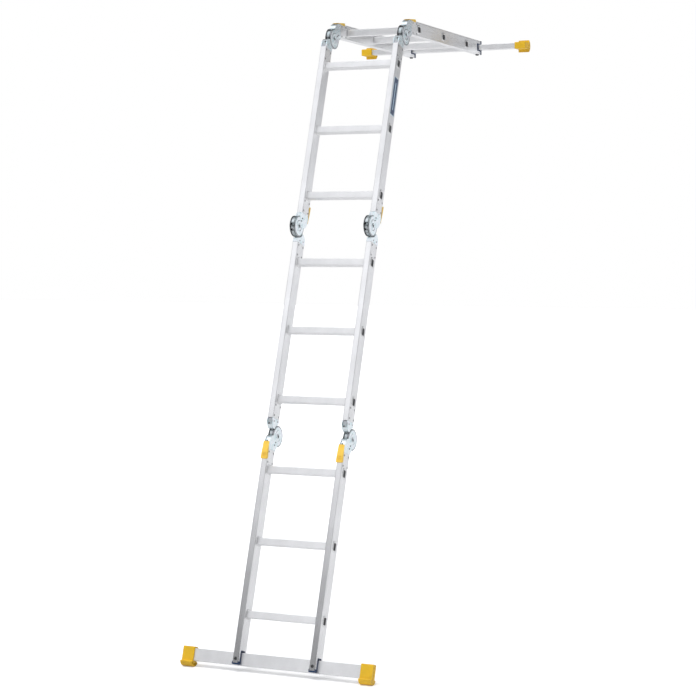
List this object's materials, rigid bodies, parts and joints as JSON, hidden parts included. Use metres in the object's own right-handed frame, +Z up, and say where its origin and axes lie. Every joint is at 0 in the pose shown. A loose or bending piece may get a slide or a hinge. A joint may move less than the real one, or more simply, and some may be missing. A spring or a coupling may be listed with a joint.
{
  "type": "multi position ladder",
  "caption": "Folding multi position aluminium ladder leaning on a wall: straight sections on locking hinges, its top section turned level, with wide stabiliser bars on rubber feet.",
  "frame": {"origin": "on the floor, under the middle of the ladder's box as it leans", "axes": "+Z up, +X to the climber's right, +Y from the climber towards the wall that the ladder leans on"},
  "size_m": [0.8, 1.7942, 2.5251],
  "materials": {
    "stile_aluminium": "extruded aluminium tube, satin mill finish with fine lines along its length",
    "rung_aluminium": "extruded aluminium, ribbed treads",
    "bar_aluminium": "extruded aluminium tube, satin mill finish",
    "hinge_zinc": "pressed steel, bright zinc plating with a pale blue cast",
    "pin_steel": "zinc-plated steel rivets and pins",
    "lever_yellow": "moulded yellow plastic, semi-gloss",
    "foot_yellow": "moulded yellow rubber, satin",
    "cap_blue": "moulded dark blue plastic",
    "plug_black": "moulded black plastic rung plugs",
    "sticker_blue": "plain printed vinyl sticker, no lettering"
  },
  "bodies": {
    "section_1": {"hinge_12_left_disc_half": "hinge_zinc", "hinge_12_left_pivot_pin": "pin_steel", "hinge_12_right_disc_half": "hinge_zinc", "hinge_12_right_pivot_pin": "pin_steel", "rung_01": "rung_aluminium", "rung_02": "rung_aluminium", "rung_03": "rung_aluminium", "stabiliser_bar_lower": "bar_aluminium", "stabiliser_foot_lower_left": "foot_yellow", "stabiliser_foot_lower_right": "foot_yellow", "stile_1_left": "stile_aluminium", "stile_1_right": "stile_aluminium", "stile_cap_lower_left": "cap_blue", "stile_cap_lower_right": "cap_blue"},
    "section_2": {"hinge_12_left_arm_half": "hinge_zinc", "hinge_12_right_arm_half": "hinge_zinc", "hinge_23_left_arm_half": "hinge_zinc", "hinge_23_right_arm_half": "hinge_zinc", "rung_04": "rung_aluminium", "rung_05": "rung_aluminium", "rung_06": "rung_aluminium", "stile_2_left": "stile_aluminium", "stile_2_right": "stile_aluminium"},
    "section_3": {"hinge_23_left_disc_half": "hinge_zinc", "hinge_23_left_pivot_pin": "pin_steel", "hinge_23_right_disc_half": "hinge_zinc", "hinge_23_right_pivot_pin": "pin_steel", "hinge_34_left_arm_half": "hinge_zinc", "hinge_34_right_arm_half": "hinge_zinc", "rung_07": "rung_aluminium", "rung_08": "rung_aluminium", "rung_09": "rung_aluminium", "stile_3_left": "stile_aluminium", "stile_3_right": "stile_aluminium"},
    "section_4": {"hinge_34_left_disc_half": "hinge_zinc", "hinge_34_left_pivot_pin": "pin_steel", "hinge_34_right_disc_half": "hinge_zinc", "hinge_34_right_pivot_pin": "pin_steel", "rung_10": "rung_aluminium", "rung_11": "rung_aluminium", "rung_12": "rung_aluminium", "stabiliser_bar_upper": "bar_aluminium", "stabiliser_foot_upper_left": "foot_yellow", "stabiliser_foot_upper_right": "foot_yellow", "stile_4_left": "stile_aluminium", "stile_4_right": "stile_aluminium", "stile_cap_upper_left": "cap_blue", "stile_cap_upper_right": "cap_blue"},
    "lever_12_left": {"hinge_12_left_lock_pin": "pin_steel", "hinge_12_left_release_lever": "lever_yellow"},
    "lever_12_right": {"hinge_12_right_lock_pin": "pin_steel", "hinge_12_right_release_lever": "lever_yellow"},
    "lever_23_left": {"hinge_23_left_lock_pin": "pin_steel", "hinge_23_left_release_lever": "lever_yellow"},
    "lever_23_right": {"hinge_23_right_lock_pin": "pin_steel", "hinge_23_right_release_lever": "lever_yellow"},
    "lever_34_left": {"hinge_34_left_lock_pin": "pin_steel", "hinge_34_left_release_lever": "lever_yellow"},
    "lever_34_right": {"hinge_34_right_lock_pin": "pin_steel", "hinge_34_right_release_lever": "lever_yellow"}
  },
  "joints": [
    {"name": "hinge_12", "type": "hinge", "parent": "section_1", "child": "section_2", "pos_m": [0, -0.55114, 0.85751], "axis": [-1, 0, 0], "range_deg": [0, 180]},
    {"name": "hinge_23", "type": "hinge", "parent": "section_2", "child": "section_3", "pos_m": [0, -0.35572, 1.6779], "axis": [1, 0, 0], "range_deg": [0, 180]},
    {"name": "hinge_34", "type": "hinge", "parent": "section_3", "child": "section_4", "pos_m": [0, -0.01806, 2.45069], "axis": [-1, 0, 0], "range_deg": [-71.5, 108.5]},
    {"name": "release_12_left", "type": "slide", "parent": "section_1", "child": "lever_12_left", "axis": [0, -0.3173, -0.9483], "range_m": [0, 0.009], "stiffness_N_per_m": 1200, "springref_m": -0.004},
    {"name": "release_12_right", "type": "slide", "parent": "section_1", "child": "lever_12_right", "axis": [0, -0.3173, -0.9483], "range_m": [0, 0.009], "stiffness_N_per_m": 1200, "springref_m": -0.004},
    {"name": "release_23_left", "type": "slide", "parent": "section_3", "child": "lever_23_left", "axis": [0, 0.3173, 0.9483], "range_m": [0, 0.009], "stiffness_N_per_m": 1200, "springref_m": -0.004},
    {"name": "release_23_right", "type": "slide", "parent": "section_3", "child": "lever_23_right", "axis": [0, 0.3173, 0.9483], "range_m": [0, 0.009], "stiffness_N_per_m": 1200, "springref_m": -0.004},
    {"name": "release_34_left", "type": "slide", "parent": "section_4", "child": "lever_34_left", "axis": [0, 1, 0], "range_m": [0, 0.009], "stiffness_N_per_m": 1200, "springref_m": -0.004},
    {"name": "release_34_right", "type": "slide", "parent": "section_4", "child": "lever_34_right", "axis": [0, 1, 0], "range_m": [0, 0.009], "stiffness_N_per_m": 1200, "springref_m": -0.004}
  ]
}
